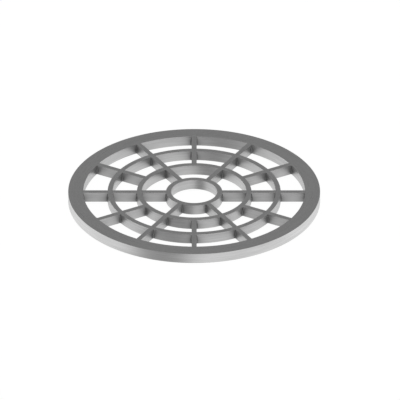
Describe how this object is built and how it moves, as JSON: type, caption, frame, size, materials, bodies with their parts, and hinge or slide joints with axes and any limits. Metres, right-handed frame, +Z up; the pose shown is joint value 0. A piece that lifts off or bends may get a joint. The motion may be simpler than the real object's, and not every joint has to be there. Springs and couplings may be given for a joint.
{
  "type": "manhole cover grate",
  "caption": "Round open grate that drops into a manhole frame: a flat rim, concentric rings and radial bars, half-lapped and welded around an open central eye.",
  "frame": {"origin": "middle of the grate, on the flat underside that rests in the frame", "axes": "+Z up through the walking surface, +X out along the first long spoke"},
  "size_m": [0.5999, 0.6, 0.025],
  "materials": {
    "plate": "brushed stainless plate",
    "flat_bar": "stainless flat bar, brushed along its length",
    "weld_metal": "dull TIG weld with a faint heat tint"
  },
  "bodies": {
    "root": {"rim": "plate", "outer_ring": "flat_bar", "inner_ring": "flat_bar", "hub_ring": "flat_bar", "long_spoke_1": "flat_bar", "long_spoke_2": "flat_bar", "long_spoke_3": "flat_bar", "long_spoke_4": "flat_bar", "long_spoke_5": "flat_bar", "long_spoke_6": "flat_bar", "short_spoke_1": "flat_bar", "short_spoke_2": "flat_bar", "short_spoke_3": "flat_bar", "short_spoke_4": "flat_bar", "short_spoke_5": "flat_bar", "short_spoke_6": "flat_bar", "rim_welds": "weld_metal", "outer_ring_welds": "weld_metal", "inner_ring_welds": "weld_metal", "hub_welds": "weld_metal"}
  },
  "joints": []
}
